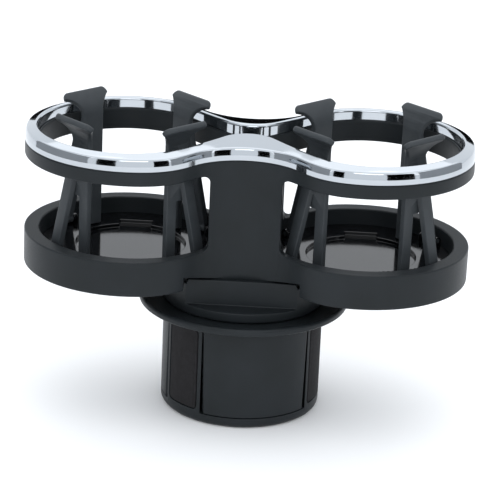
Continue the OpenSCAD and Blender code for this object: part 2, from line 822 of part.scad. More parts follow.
// Distance from p along d to a closed line
function reach(p, d, line) =
    min([for (i = [0:len(line) - 1])
        let (q = line[i] - p, r = line[(i + 1) % len(line)] - line[i], turn = cross(d, r),
             t = cross(q, r) / turn, u = cross(q, d) / turn)
        if (t > 0 && u >= 0 && u <= 1) t]);

// Floor plates with the ears that hold the claws

// Turned to a claw's place, with the side that faces the long axis in front
module at_claw(a) {
    rotate(a) mirror([0, a % 180 < 90 ? 1 : 0, 0]) children();
}

module ear_pair() {
    for (side = [-1, 1])
        translate([claw_pivot_r, foot_aside + side * (ear_at + ear_t / 2), 0]) difference() {
            union() {
                translate([-knuckle_r, -ear_t / 2, plate_top - eps])
                    cube([2 * knuckle_r, ear_t, claw_pivot_z - plate_top + eps]);
                translate([0, 0, claw_pivot_z]) push_y(ear_t) circle(r = knuckle_r);
            }
            translate([0, 0, claw_pivot_z]) push_y(ear_t + 2 * eps)
                circle(r = claw_pin_r + bore_gap);
        }
}

module floor_plate(side) {
    color(gloss_black) translate([side * half_pitch, 0, 0]) {
        difference() {
            translate([0, 0, deck_top]) cylinder(r = well_r - slide_gap, h = plate_h);
            translate([0, 0, pan_top]) cylinder(r = pan_r, h = plate_h);
            translate([-pan_notch_w / 2, -pan_notch_r, pan_top])
                cube([pan_notch_w, 2 * pan_notch_r, plate_h]);
            translate([0, 0, deck_top - eps])
                tube(well_r - plate_wall, pan_notch_r + plate_wall, plate_h - plate_wall + eps);
        }
        intersection() {
            for (a = [45:90:315]) at_claw(a) ear_pair();
            cylinder(r = well_r - slide_gap, h = claw_top);
        }
    }
}

// Claws: an upright strip with a bent lip, and a brace that slants outwards
// and aside to the foot. Both are drawn from the side and from the cup.

// Point of the brace's inner (-1) or outer (1) face at distance r
function brace_at(face, r) =
    let (p = brace_foot + face * brace_half) p + brace_along * (r - p.x) / brace_along.x;

module strip_side() {
    bend_c = [claw_r + lip_bend_r, claw_top - lip_bend_r * sin(lip_bend)];
    polygon(concat([[claw_r, strip_z]], arc(bend_c, lip_bend_r, 180, 180 - lip_bend),
                   arc(bend_c, lip_bend_r - claw_t, 180 - lip_bend, 180),
                   [[claw_back, strip_z]]));
}

module brace_side() {
    middle = claw_r + claw_t / 2;
    polygon([brace_foot - brace_half, brace_foot + brace_half, brace_at(1, claw_back),
             [middle, brace_at(1, claw_back).y], brace_at(-1, middle)]);
    translate(brace_foot) circle(r = knuckle_r);
}

// Edge of the strip from its straight part to the corner of the lip
function flare(half_lip) =
    let (spread = half_lip - claw_w / 2, bend = 2 * atan(spread / lip_flare_h),
         r = spread / (1 - cos(bend)))
    concat(arc([claw_w / 2 + r, claw_top - lip_flare_h - lip_corner], r, 180, 180 - bend),
           arc([half_lip - lip_corner, claw_top - lip_corner + eps], lip_corner, 0, 90));

module strip_front() {
    half = claw_w / 2;
    near = flare(lip_w / 2 - lip_aside);
    polygon(concat([[-half, deck_top], [leg_w - half, deck_top], [leg_w - half, fork_z],
                    [half, fork_z]],
                   flare(lip_w / 2 + lip_aside),
                   [for (i = [len(near) - 1:-1:0]) [-near[i].x, near[i].y]]));
}

module brace_front() {
    half = leg_w / 2;
    slant_z = claw_pivot_z + knuckle_r;
    end_z = brace_at(1, claw_back).y + eps;
    polygon([[foot_aside - half, deck_top], [foot_aside + half, deck_top],
             [foot_aside + half, slant_z], [brace_aside + half, end_z],
             [brace_aside - half, end_z], [foot_aside - half, slant_z]]);
}

module claw(side, a) {
    color(plastic) translate([side * half_pitch, 0, 0]) at_claw(a) {
        intersection() {
            push_y(2 * lip_w) strip_side();
            push_x(2 * lobe_r) strip_front();
        }
        intersection() {
            push_y(2 * lip_w) brace_side();
            push_x(2 * lobe_r) brace_front();
        }
        translate([claw_pivot_r, foot_aside, claw_pivot_z])
            push_y(2 * (ear_at + ear_t) - 2 * eps) circle(r = claw_pin_r);
    }
}

base_cup();
base_lid();
lid_screws();
grip_pad(0);  // grip_pad_left
grip_pad(1);  // grip_pad_right
grip_pad(2);  // grip_pad_back
guide_plate();
shoe(0);  // shoe_front
shoe(1);  // shoe_right
shoe(2);  // shoe_left
cam_plate();
cam_screws();
grip_wheel();
pivot_bolt();
pivot_washer();
pivot_nut();
swivel_mount();
mount_screws();
body_shell();
bottom_cover();
cover_screws();
chrome_trim();
floor_plate(-1);  // floor_plate_left
floor_plate(1);  // floor_plate_right
claw(-1, 225);  // claw_left_front_outer
claw(-1, 315);  // claw_left_front_inner
claw(-1, 135);  // claw_left_back_outer
claw(-1, 45);  // claw_left_back_inner
claw(1, 315);  // claw_right_front_outer
claw(1, 225);  // claw_right_front_inner
claw(1, 45);  // claw_right_back_outer
claw(1, 135);  // claw_right_back_inner
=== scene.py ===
import math

import bmesh
import bpy
from mathutils import Matrix, Vector


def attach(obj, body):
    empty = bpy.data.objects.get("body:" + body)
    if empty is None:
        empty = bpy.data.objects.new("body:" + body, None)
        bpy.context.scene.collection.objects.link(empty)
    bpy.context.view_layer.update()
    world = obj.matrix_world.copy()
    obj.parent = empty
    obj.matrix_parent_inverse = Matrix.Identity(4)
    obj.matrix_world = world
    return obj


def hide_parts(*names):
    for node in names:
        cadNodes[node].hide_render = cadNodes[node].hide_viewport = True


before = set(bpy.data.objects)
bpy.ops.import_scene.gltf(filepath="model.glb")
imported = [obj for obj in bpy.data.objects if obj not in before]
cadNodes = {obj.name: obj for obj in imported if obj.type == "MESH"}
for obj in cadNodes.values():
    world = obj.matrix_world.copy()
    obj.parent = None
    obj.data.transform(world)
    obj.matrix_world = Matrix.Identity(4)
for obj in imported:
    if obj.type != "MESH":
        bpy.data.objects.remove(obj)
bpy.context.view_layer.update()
mm = 0.001
print("frame loaded with", len(cadNodes), "nodes")


# Small helpers, all sizes in millimetres and all angles in degrees

mergeWithin = 0.002  # points that lie closer become one
bevelFrom = 34  # an edge is rounded where its faces turn by more
smoothBelow = 38  # faces that turn by less share their shading
over = 1  # a tool that cuts reaches this far past a face
sunk = 0.1  # an added part is let in this far
hair = 0.02  # too small to see
far = 80  # outside the object


def deselectAll():
    if bpy.context.mode != "OBJECT":
        bpy.ops.object.mode_set(mode="OBJECT")
    bpy.ops.object.select_all(action="DESELECT")


def pick(piece):
    deselectAll()
    piece.select_set(True)
    bpy.context.view_layer.objects.active = piece


def inPlace(u, v, w, along):
    # the point of an outline drawn as u, v, at the distance w along the third axis
    places = {"x": (w, u, v), "y": (u, w, v), "z": (u, v, w)}
    return Vector(places[along]) * mm


def faceOutwards(piece):
    pick(piece)
    bpy.ops.object.mode_set(mode="EDIT")
    bpy.ops.mesh.select_all(action="SELECT")
    bpy.ops.mesh.remove_doubles(threshold=mergeWithin * mm)
    bpy.ops.mesh.dissolve_degenerate(threshold=mergeWithin * mm)
    bpy.ops.mesh.normals_make_consistent(inside=False)
    bpy.ops.object.mode_set(mode="OBJECT")
    return piece


def addPrism(name, outline, low, high, along="z"):
    deselectAll()
    bpy.ops.mesh.primitive_circle_add(vertices=len(outline), radius=mm, fill_type="NGON")
    piece = bpy.context.object
    piece.name = name
    for vertex, (u, v) in zip(piece.data.vertices, outline):
        vertex.co = inPlace(u, v, low, along)
    bpy.ops.object.mode_set(mode="EDIT")
    bpy.ops.mesh.select_all(action="SELECT")
    push = inPlace(0, 0, high - low, along)
    bpy.ops.mesh.extrude_region_move(TRANSFORM_OT_translate={"value": push})
    bpy.ops.object.mode_set(mode="OBJECT")
    return faceOutwards(piece)


def addRings(name, rings, closed=False):
    # one loop of edges is extruded again and again, each time onto the next ring
    deselectAll()
    bpy.ops.mesh.primitive_circle_add(vertices=len(rings[0]), radius=mm, fill_type="NOTHING")
    piece = bpy.context.object
    piece.name = name
    place = piece.data.attributes.new("place", "INT", "POINT")
    for i, vertex in enumerate(piece.data.vertices):
        vertex.co = Vector(rings[0][i]) * mm
        place.data[i].value = i
    bpy.ops.object.mode_set(mode="EDIT")
    bpy.ops.mesh.select_all(action="SELECT")
    for ring in rings[1:]:
        bpy.ops.mesh.extrude_region_move()
        mesh = bmesh.from_edit_mesh(piece.data)
        order = mesh.verts.layers.int["place"]
        for vertex in mesh.verts:
            if vertex.select:
                vertex.co = Vector(ring[vertex[order]]) * mm
        bmesh.update_edit_mesh(piece.data)
    if closed:
        bpy.ops.mesh.select_all(action="DESELECT")
        bpy.ops.mesh.select_mode(type="EDGE")
        bpy.ops.mesh.select_non_manifold(extend=False, use_wire=False, use_boundary=True,
                                         use_multi_face=False, use_non_contiguous=False, use_verts=False)
        bpy.ops.mesh.bridge_edge_loops()
    bpy.ops.mesh.select_mode(type="VERT")
    bpy.ops.object.mode_set(mode="OBJECT")
    piece.data.attributes.remove(piece.data.attributes["place"])
    return faceOutwards(piece)


def addLathe(name, profile, centre=(0, 0), count=120, closed=False):
    # a profile of radius and height is turned, and radius 0 at an end closes that end
    turns = [2 * math.pi * i / count for i in range(count)]
    rings = [[(centre[0] + r * math.cos(t), centre[1] + r * math.sin(t), z) for t in turns]
             for r, z in profile]
    return addRings(name, rings, closed)


def combine(piece, tool, how):
    pick(piece)
    step = piece.modifiers.new("combine", "BOOLEAN")
    step.operation = how
    step.solver = "EXACT"
    step.object = tool
    bpy.ops.object.modifier_apply(modifier=step.name)
    bpy.data.objects.remove(tool)
    return piece


def cut(piece, tool):
    return combine(piece, tool, "DIFFERENCE")


def weld(piece, tool):
    return combine(piece, tool, "UNION")


def joinPieces(pieces, name):
    deselectAll()
    for piece in pieces:
        piece.select_set(True)
    bpy.context.view_layer.objects.active = pieces[0]
    bpy.ops.object.join()
    pieces[0].name = name
    return pieces[0]


def copyPiece(source, name, turn=0, shift=(0, 0, 0)):
    copy = source.copy()
    copy.data = source.data.copy()
    copy.name = name
    bpy.context.scene.collection.objects.link(copy)
    place = Matrix.Translation(Vector(shift) * mm) @ Matrix.Rotation(math.radians(turn), 4, "Z")
    copy.data.transform(place)
    return copy


def mirrorPiece(piece):
    piece.data.transform(Matrix.Diagonal((1, -1, 1, 1)))
    piece.data.flip_normals()
    return piece


def markEdges(piece, keptSharp):
    # edges to be rounded get bevel weight, apart from those to be kept sharp
    mesh = bmesh.new()
    mesh.from_mesh(piece.data)
    weight = mesh.edges.layers.float.new("bevel_weight_edge")
    for edge in mesh.edges:
        sharp = edge.calc_face_angle(0) > math.radians(bevelFrom)
        edge[weight] = float(sharp and not all(keptSharp(vertex.co / mm) for vertex in edge.verts))
    mesh.to_mesh(piece.data)
    mesh.free()


def roundEdges(piece, width, segments=3, keptSharp=None):
    faceOutwards(piece)
    bevel = piece.modifiers.new("rounding", "BEVEL")
    bevel.limit_method = "ANGLE"
    if keptSharp:
        markEdges(piece, keptSharp)
        bevel.limit_method = "WEIGHT"
    bevel.angle_limit = math.radians(bevelFrom)
    bevel.width = width * mm
    bevel.segments = segments
    bevel.use_clamp_overlap = False
    bpy.ops.object.modifier_apply(modifier=bevel.name)
    return smoothFaces(piece)


def smoothFaces(piece, angle=smoothBelow):
    pick(piece)
    bpy.ops.object.shade_smooth_by_angle(angle=math.radians(angle))
    even = piece.modifiers.new("even shading", "WEIGHTED_NORMAL")
    even.keep_sharp = True
    bpy.ops.object.modifier_apply(modifier=even.name)
    return piece


def settle(piece, body, finish, slotName, *stands):
    piece.data.materials.clear()
    piece.data.materials.append(finish)
    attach(piece, body)
    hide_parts(*stands)
    return piece


def polar(radius, degrees):
    return Vector((radius * math.cos(math.radians(degrees)), radius * math.sin(math.radians(degrees))))


def arcPoints(centre, radius, start, end, step=3, first=0):
    count = max(1, math.ceil(abs(end - start) / step))
    return [Vector(centre) + polar(radius, start + (end - start) * i / count)
            for i in range(first, count + 1)]


def roundedRectangle(halfWide, halfHigh, corner, centre=(0, 0), step=15):
    points = []
    for sideU, sideV, start in ((1, 1, 0), (-1, 1, 90), (-1, -1, 180), (1, -1, 270)):
        middle = (centre[0] + sideU * (halfWide - corner), centre[1] + sideV * (halfHigh - corner))
        points += arcPoints(middle, corner, start, start + 90, step)
    return points


def box(x0, x1, y0, y1):
    return [(x0, y0), (x1, y0), (x1, y1), (x0, y1)]


# Sizes shared by several pieces

halfPitch = 52.5  # from the swivel to the middle of a well
mountTop = 65.6
deckHigh = 70.4
plateTop = 74.0
bandTop = 123.0
pivot = Vector((36.5, 76.3))  # of a claw: distance from the well's middle, and height
footAside = 8.3
boltHole = 4.08
screwHole = 1.48


# Outlines of the body and of its mouth: two lobes joined by a hollow waist, each quarter of three
# arcs that run into each other

bodyShape = {"lobe": 48.5, "shoulder": 30, "turn": 102, "waist": 29.5, "half": 23.2}
mouthShape = {"lobe": 42.5, "shoulder": 34, "turn": 77, "waist": 15, "half": 6.3}
waistShare = 0.99  # of the largest waist that still meets the shoulders


def quarterLine(shape, inward):
    lobe, shoulder, half = shape["lobe"], shape["shoulder"], shape["half"]
    s = Vector((halfPitch, 0)) + polar(lobe - shoulder, shape["turn"])
    limit = (s.x ** 2 + (s.y - half) ** 2 - shoulder ** 2) / (2 * (shoulder + s.y - half))
    waist = min(shape["waist"], waistShare * limit)
    c = Vector((0, half + waist))
    flank = math.degrees(math.atan2(c.y - s.y, c.x - s.x)
                         - math.acos((shoulder + waist) / (c - s).length))
    return (arcPoints((halfPitch, 0), lobe - inward, 0, shape["turn"])
            + arcPoints(s, shoulder - inward, shape["turn"], flank, first=1)
            + arcPoints(c, waist + inward, flank - 180, -90))


def wholeLine(quarter):
    last = len(quarter) - 1
    return (quarter
            + [Vector((-quarter[i].x, quarter[i].y)) for i in range(last - 1, -1, -1)]
            + [Vector((-quarter[i].x, -quarter[i].y)) for i in range(1, last + 1)]
            + [Vector((quarter[i].x, -quarter[i].y)) for i in range(last - 1, 0, -1)])


def bodyLine(inward):
    return wholeLine(quarterLine(bodyShape, inward))


def mouthLine(inward):
    return wholeLine(quarterLine(mouthShape, inward))


# Finishes

def linear(hexColour):
    parts = [int(hexColour[i:i + 2], 16) / 255 for i in (1, 3, 5)]
    return tuple(p / 12.92 if p <= 0.04045 else ((p + 0.055) / 1.055) ** 2.4 for p in parts) + (1,)


def addNode(tree, kind, settings=None, **sockets):
    node = tree.nodes.new(kind)
    for name, value in (settings or {}).items():
        setattr(node, name, value)
    for name, value in sockets.items():
        socket = node.inputs[name.replace("_", " ")]
        if isinstance(value, bpy.types.NodeSocket):
            tree.links.new(value, socket)
        else:
            socket.default_value = value
    return node


def newFinish(name):
    finish = bpy.data.materials.new(name)
    finish.use_nodes = True
    finish.node_tree.nodes.clear()
    return finish, finish.node_tree


def placeOn(tree):
    return addNode(tree, "ShaderNodeTexCoord").outputs["Object"]


def showShader(tree, shader):
    addNode(tree, "ShaderNodeOutputMaterial", Surface=shader.outputs[0])


def noiseAt(tree, place, size, detail=3, roughness=0.5):
    # size is the grain's width in millimetres
    return addNode(tree, "ShaderNodeTexNoise", Vector=place, Scale=1 / (size * mm),
                   Detail=detail, Roughness=roughness).outputs["Fac"]


def ranged(tree, value, low, high, fromLow=0.3, fromHigh=0.7):
    return addNode(tree, "ShaderNodeMapRange", Value=value, From_Min=fromLow, From_Max=fromHigh,
                   To_Min=low, To_Max=high).outputs["Result"]


def tinted(tree, factor, first, second):
    mix = addNode(tree, "ShaderNodeMix", {"data_type": "RGBA"})
    tree.links.new(factor, mix.inputs[0])
    mix.inputs[6].default_value = linear(first)
    mix.inputs[7].default_value = linear(second)
    return mix.outputs[2]


def bumped(tree, height, depth, strength):
    return addNode(tree, "ShaderNodeBump", Height=height, Distance=depth * mm,
                   Strength=strength).outputs["Normal"]


# Black ABS moulded in a spark-eroded tool, which gives a dull satin with a very fine grain. The
# grain is 0.1 mm on the real thing and is drawn 0.5 mm wide so that it shows
def sparkErodedAbs():
    finish, tree = newFinish("sparkErodedAbs")
    place = placeOn(tree)
    grain = noiseAt(tree, place, 0.5, 2)
    cloud = noiseAt(tree, place, 18, 2)
    showShader(tree, addNode(
        tree, "ShaderNodeBsdfPrincipled",
        Base_Color=tinted(tree, ranged(tree, cloud, 0, 1), "#1c2022", "#202427"),
        Roughness=ranged(tree, grain, 0.36, 0.48), IOR=1.28,
        Normal=bumped(tree, grain, 0.02, 0.25)))
    return finish


# Tougher plastic of the claws, moulded in a blasted tool: a shade greyer and duller, with faint
# clouds where it flowed
def dullClawPlastic():
    finish, tree = newFinish("dullClawPlastic")
    place = placeOn(tree)
    grain = noiseAt(tree, place, 0.6, 2)
    flow = noiseAt(tree, place, 6, 3)
    showShader(tree, addNode(
        tree, "ShaderNodeBsdfPrincipled",
        Base_Color=tinted(tree, ranged(tree, flow, 0, 1), "#34383b", "#3a3e41"),
        Roughness=ranged(tree, flow, 0.42, 0.54), IOR=1.32,
        Normal=bumped(tree, grain, 0.02, 0.2)))
    return finish


# Black plastic moulded in a polished tool: sharp reflections, slightly uneven where it cooled
def polishedBlack():
    finish, tree = newFinish("polishedBlack")
    place = placeOn(tree)
    cooling = noiseAt(tree, place, 14, 1)
    dust = noiseAt(tree, place, 0.8, 4, 0.6)
    showShader(tree, addNode(
        tree, "ShaderNodeBsdfPrincipled",
        Base_Color=linear("#08090b"), Roughness=ranged(tree, dust, 0.08, 0.16, 0.45, 0.75),
        IOR=1.45, Normal=bumped(tree, cooling, 0.05, 0.2)))
    return finish


# Chrome plated on plastic: a mirror that wavers a little, because the plastic under it sinks
def platedChrome():
    finish, tree = newFinish("platedChrome")
    place = placeOn(tree)
    sink = noiseAt(tree, place, 12, 1)
    haze = noiseAt(tree, place, 5, 3)
    showShader(tree, addNode(
        tree, "ShaderNodeBsdfPrincipled",
        Base_Color=linear("#b8bdc2"), Metallic=1.0,
        Roughness=ranged(tree, haze, 0.05, 0.09),
        Normal=bumped(tree, sink, 0.12, 0.35)))
    return finish


# Soft black rubber of the pads, pressed in a plain mould: no shine and a dusty bloom
def padRubber():
    finish, tree = newFinish("padRubber")
    place = placeOn(tree)
    bloom = noiseAt(tree, place, 2.5, 4, 0.6)
    grain = noiseAt(tree, place, 0.5, 2)
    showShader(tree, addNode(
        tree, "ShaderNodeBsdfPrincipled",
        Base_Color=tinted(tree, ranged(tree, bloom, 0, 1), "#1b1a1b", "#222123"),
        Roughness=ranged(tree, grain, 0.7, 0.85), IOR=1.28,
        Normal=bumped(tree, grain, 0.03, 0.4)))
    return finish


# Black moulded plastic of the parts inside, left as it comes from a plain tool
def mouldedPlastic():
    finish, tree = newFinish("mouldedPlastic")
    place = placeOn(tree)
    flow = noiseAt(tree, place, 4, 3)
    showShader(tree, addNode(
        tree, "ShaderNodeBsdfPrincipled",
        Base_Color=tinted(tree, ranged(tree, flow, 0, 1), "#1c1d1f", "#232426"),
        Roughness=ranged(tree, flow, 0.4, 0.55), IOR=1.5,
        Normal=bumped(tree, flow, 0.02, 0.2)))
    return finish


# Steel plated with bright zinc: grey metal with a fine spangle
def zincSteel():
    finish, tree = newFinish("zincSteel")
    place = placeOn(tree)
    spangle = noiseAt(tree, place, 0.9, 3, 0.6)
    showShader(tree, addNode(
        tree, "ShaderNodeBsdfPrincipled",
        Base_Color=tinted(tree, ranged(tree, spangle, 0, 1), "#aeb1b3", "#c3c5c6"),
        Metallic=1.0, Roughness=ranged(tree, spangle, 0.28, 0.42)))
    return finish


satinAbs = sparkErodedAbs()
clawPlastic = dullClawPlastic()
glossBlack = polishedBlack()
chrome = platedChrome()
rubber = padRubber()
innerPlastic = mouldedPlastic()
zinc = zincSteel()
print("finishes made")


# Body shell: an outline pushed up, then wells, mouth, windows and recesses cut out of it

shell = {"tray": 81.5, "windowTop": 116.6, "columnHalf": 16, "windowCorner": 3, "wellRadius": 41.5,
         "mouthInward": 1, "skirtLow": 115.0, "skirtWall": 1.8, "upstandTop": 125.0,
         "upstandInward": 0.15, "notchHalf": 25.8, "notchHigh": 68.0, "notchSlope": 17,
         "notchFrom": 24.6, "edge": 0.7, "coverRoom": 67.2, "wall": 2.2}


def windowOutline(side):
    x, r = shell["columnHalf"] + shell["windowCorner"], shell["windowCorner"]
    low, high, end = shell["tray"], shell["windowTop"], halfPitch + far
    points = (arcPoints((x, low + r), r, 180, 270, 15) + [(end, low), (end, high)]
              + arcPoints((x, high - r), r, 90, 180, 15))
    return [(side * x, z) for x, z in points]


def notchOutline(side):
    # the notch over the mount's tabs slopes up outwards
    start, high = shell["notchFrom"], shell["notchHigh"]
    rise = (far - start) * math.tan(math.radians(shell["notchSlope"]))
    points = [(start, mountTop - over), (far, mountTop - over), (far, high + rise), (start, high)]
    return [(side * y, z) for y, z in points]


def atNotch(point):
    return abs(point.x) < shell["notchHalf"] + sunk and point.z < shell["tray"] - 2 * over


def makeShell():
    tray, top = shell["tray"], shell["upstandTop"]
    piece = addPrism("bodyShell", bodyLine(0), mountTop, top)
    ring = addPrism("outside", bodyLine(-over), bandTop, top + over)
    cut(ring, addPrism("kept", mouthLine(shell["upstandInward"]), bandTop - over, top + 2 * over))
    cut(piece, ring)
    for side in (-1, 1):
        well = [(0, deckHigh), (shell["wellRadius"], deckHigh), (shell["wellRadius"], tray + over),
                (0, tray + over)]
        cut(piece, addLathe("well", well, (side * halfPitch, 0)))
    cut(piece, addPrism("mouth", mouthLine(shell["mouthInward"]), tray, top + over))
    for side in (-1, 1):
        window = addPrism("window", windowOutline(side), -far, far, "y")
        skirt = addPrism("skirt", mouthLine(shell["mouthInward"] - shell["skirtWall"]),
                         shell["skirtLow"], shell["windowTop"] + over)
        cut(piece, cut(window, skirt))
    for side in (-1, 1):
        cut(piece, addPrism("notch", notchOutline(side), -shell["notchHalf"], shell["notchHalf"], "x"))
    cut(piece, addPrism("coverRoom", bodyLine(shell["wall"]), mountTop - over, shell["coverRoom"]))
    return roundEdges(piece, shell["edge"], keptSharp=atNotch)


bodyShell = makeShell()
settle(bodyShell, "holder", satinAbs, "satin_plastic", "body_shell")
print("body shell made")


# Chrome trim: one section carried round between the outer outline and the mouth

trim = {"face": 2.7, "slant": 3.1, "slantIn": 0.8, "rise": 1.3, "waistRise": 0.8, "edge": 1.5,
        "foot": 0.3, "gap": 1.5, "span": 2, "smooth": 40,
        "lowBend": ((0, -0.25), (0.03, 0), (0.1, 0.25)),  # round the edge below the slant
        "highBend": ((0, -0.3), (0.25, 0.02), (0.7, 0.14)),  # round the edge above the slant
        "bulge": ((0.32, 0.42), (0.62, 0.75))}  # on the slant, as shares of its run and its height


def trimSection(width, wide):
    # distance from the outer edge and height above the band, from the mouth's foot round to its top
    face, slant, lean, edge, foot = (trim[key] for key in ("face", "slant", "slantIn", "edge", "foot"))
    shoulder = face + slant
    top = shoulder + trim["rise"] + trim["waistRise"] * wide
    return ([(width, foot), (width - foot, 0), (foot, 0), (0, foot)]
            + [(d, face + h) for d, h in trim["lowBend"]]
            + [(lean * d, face + slant * h) for d, h in trim["bulge"]]
            + [(lean + d, shoulder + h) for d, h in trim["highBend"]]
            + [tuple(p) for p in reversed(arcPoints((width - edge, top - edge), edge, 0, 90, 18))])


def denseLine(line, gap):
    # more points on a closed line, none farther from the next than the gap
    points = []
    for p, q in zip(line, line[1:] + line[:1]):
        count = math.ceil((q - p).length / gap)
        points += [p.lerp(q, k / count) for k in range(count)]
    return points


def reach(p, d, line):
    # distance from p along d to a closed line
    ways = []
    for a, b in zip(line, line[1:] + line[:1]):
        q, r = a - p, b - a
        turn = d.cross(r)
        if turn and 0 <= q.cross(d) / turn <= 1 and q.cross(r) / turn > 0:
            ways.append(q.cross(r) / turn)
    return min(ways)


def makeTrim():
    outer = denseLine(bodyLine(0), trim["gap"])
    mouth = mouthLine(0)
    count, span = len(outer), trim["span"]
    sections = []
    for i, p in enumerate(outer):
        along = outer[(i + span) % count] - outer[i - span]
        inward = Vector((-along.y, along.x)).normalized()
        sections.append((p, inward, reach(p, inward, mouth)))
    narrow = min(width for p, inward, width in sections)
    wide = max(width for p, inward, width in sections)
    rings = []
    for p, inward, width in sections:
        rings.append([(p.x + inward.x * d, p.y + inward.y * d, bandTop + h)
                      for d, h in trimSection(width, (width - narrow) / (wide - narrow))])
    return smoothFaces(addRings("chromeTrim", list(zip(*rings)), closed=True), trim["smooth"])


chromeTrim = makeTrim()
settle(chromeTrim, "holder", chrome, "trim_chrome", "chrome_trim")
print("chrome trim made")


# Floor plates: a ring with a sunk pan, two notches and ears for the claws

plate = {"radius": 41.2, "panRadius": 25, "panTop": 72.3, "notchHalf": 7.5, "notchReach": 30,
         "edge": 0.35, "earHalf": 2, "earThick": 2, "earAt": 3.2, "earEdge": 0.2, "pinHole": 1.28}


def makeEar(side):
    half, low = plate["earHalf"], plateTop - sunk
    outline = [(pivot.x - half, low), (pivot.x + half, low)] + arcPoints(pivot, half, 0, 180, 10)
    y0, y1 = sorted(footAside + side * (plate["earAt"] + t) for t in (0, plate["earThick"]))
    ear = addPrism("ear", outline, y0, y1, "y")
    cut(ear, addPrism("hole", arcPoints(pivot, plate["pinHole"], 0, 345, 15), y0 - over, y1 + over, "y"))
    return roundEdges(ear, plate["earEdge"], 2)


def makePlate(side, ears, name):
    r, panRadius, panTop, end = plate["radius"], plate["panRadius"], plate["panTop"], plateTop + over
    disc = addLathe("disc", [(0, deckHigh), (r, deckHigh), (r, plateTop), (0, plateTop)], count=160)
    pan = addLathe("pan", [(0, panTop), (panRadius, panTop), (panRadius, end), (0, end)])
    half, away = plate["notchHalf"], plate["notchReach"]
    weld(pan, addPrism("notch", box(-half, half, -away, away), panTop, end))
    piece = roundEdges(cut(disc, pan), plate["edge"])
    parts = [piece]
    for ear, mirrored in ears:
        parts += [copyPiece(ear, "ear", turn) for turn in ((45, 225) if mirrored else (135, 315))]
    piece = joinPieces(parts, name)
    piece.data.transform(Matrix.Translation((side * halfPitch * mm, 0, 0)))
    return piece


earModels = [(makeEar(-1), False), (makeEar(1), False),
             (mirrorPiece(makeEar(-1)), True), (mirrorPiece(makeEar(1)), True)]
for side, word in ((-1, "left"), (1, "right")):
    floorPlate = makePlate(side, earModels, "floorPlate" + word.capitalize())
    settle(floorPlate, "holder", glossBlack, "gloss_plastic", "floor_plate_" + word)
for ear, mirrored in earModels:
    bpy.data.objects.remove(ear)
print("floor plates made")


# Claws: an upright strip with a bent, rolled lip, made of sections one above the other, and a
# brace that slants outwards and aside to the foot, drawn from the side and from the cup

claw = {"face": 28, "thick": 2.7, "half": 5.5, "legWide": 5.6, "brace": 3.1, "braceAside": 2.2,
        "knuckle": 2, "pin": 1.2, "pinHalf": 5.1, "pinEdge": 0.2, "fork": 0.6, "joinHigh": 54.5,
        "top": 138.5, "bendRadius": 14, "bend": 56, "lipHalf": 12.25, "lipAside": 1.4,
        "flareHigh": 9.5, "flareSteps": 12, "corner": 2.4, "cornerSteps": 12, "gap": 0.3,
        "edge": 0.45, "roll": 1.1, "rollFrom": 0.6}
claw["back"] = claw["face"] + claw["thick"]


def braceAt(face, radius):
    # the brace's inner (-1) or outer (1) face at its foot and at a distance from the well's middle
    join = Vector((claw["back"] - claw["brace"] / 2, plateTop + claw["joinHigh"]))
    along = (join - pivot).normalized()
    p = pivot + face * claw["brace"] / 2 * Vector((along.y, -along.x))
    return p, p + along * (radius - p.x) / along.x


def braceSide():
    middle = claw["face"] + claw["thick"] / 2
    outerFoot, outerEnd = braceAt(1, claw["back"])
    innerFoot, innerEnd = braceAt(-1, middle)
    return [innerFoot, outerFoot, outerEnd, (middle, outerEnd.y), innerEnd]


def flareLine(halfLip):
    # edge of the lip as seen from the cup, from where it widens up to its rounded corner
    spread = halfLip - claw["half"]
    bend = 2 * math.degrees(math.atan(spread / claw["flareHigh"]))
    radius = spread / (1 - math.cos(math.radians(bend)))
    corner = claw["corner"]
    z = claw["top"] - corner
    return (arcPoints((claw["half"] + radius, z - claw["flareHigh"]), radius, 180, 180 - bend, 6)
            + arcPoints((halfLip - corner, z), corner, 0, 90, 90 / claw["cornerSteps"], first=1))


def widthAt(line, z):
    # half width at a height, taken from the edge of the lip
    for p, q in zip(line, line[1:]):
        if z <= q.y:
            return p.x + (q.x - p.x) * max(0, z - p.y) / (q.y - p.y)
    return line[-1].x


def stripRows():
    # height, left edge, right edge, half thickness and edge rounding, from the foot to the lip
    half, legEdge, thick = claw["half"], claw["legWide"] - claw["half"], claw["thick"] / 2
    edge, roll = claw["edge"], claw["roll"]
    quarter = [(edge * (1 - math.cos(math.radians(a))), edge * (1 - math.sin(math.radians(a))))
               for a in (0, 30, 60, 90)]
    foot = plateTop + claw["gap"]
    fork = braceAt(-1, claw["back"] + claw["fork"])[1].y
    rows = [(foot + up, inset - half, legEdge - inset, thick - inset, edge) for up, inset in quarter]
    rows.append((fork - hair, -half, legEdge, thick, edge))
    rows += [(fork + up, -half, half - inset, thick, edge) for up, inset in quarter]
    near, away = (flareLine(claw["lipHalf"] + side * claw["lipAside"]) for side in (-1, 1))
    start, steps = near[0].y, claw["flareSteps"]
    heights = [start + claw["flareHigh"] * k / steps for k in range(steps)]
    for z in heights + [p.y for p in near[-claw["cornerSteps"] - 1:]]:
        left = min(roll, (claw["top"] - z) / math.cos(math.radians(claw["bend"])))
        end = thick - roll + math.sqrt(roll ** 2 - (roll - left) ** 2)
        soft = min(1, (z - start) / (claw["rollFrom"] * claw["flareHigh"]))
        rows.append((z, -widthAt(near, z), widthAt(away, z), end, edge + (roll - edge) * soft))
    return rows


def stripPoint(y, depth, z):
    # above bendHigh the strip is bent away from the cup
    radius = claw["bendRadius"]
    bendHigh = claw["top"] - radius * math.sin(math.radians(claw["bend"]))
    turn = 180 - math.degrees(math.asin(max(0, z - bendHigh) / radius))
    middle = Vector((claw["face"] + radius, min(z, bendHigh)))
    p = middle + polar(radius - claw["thick"] / 2 - depth, turn)
    return p.x, y, p.y


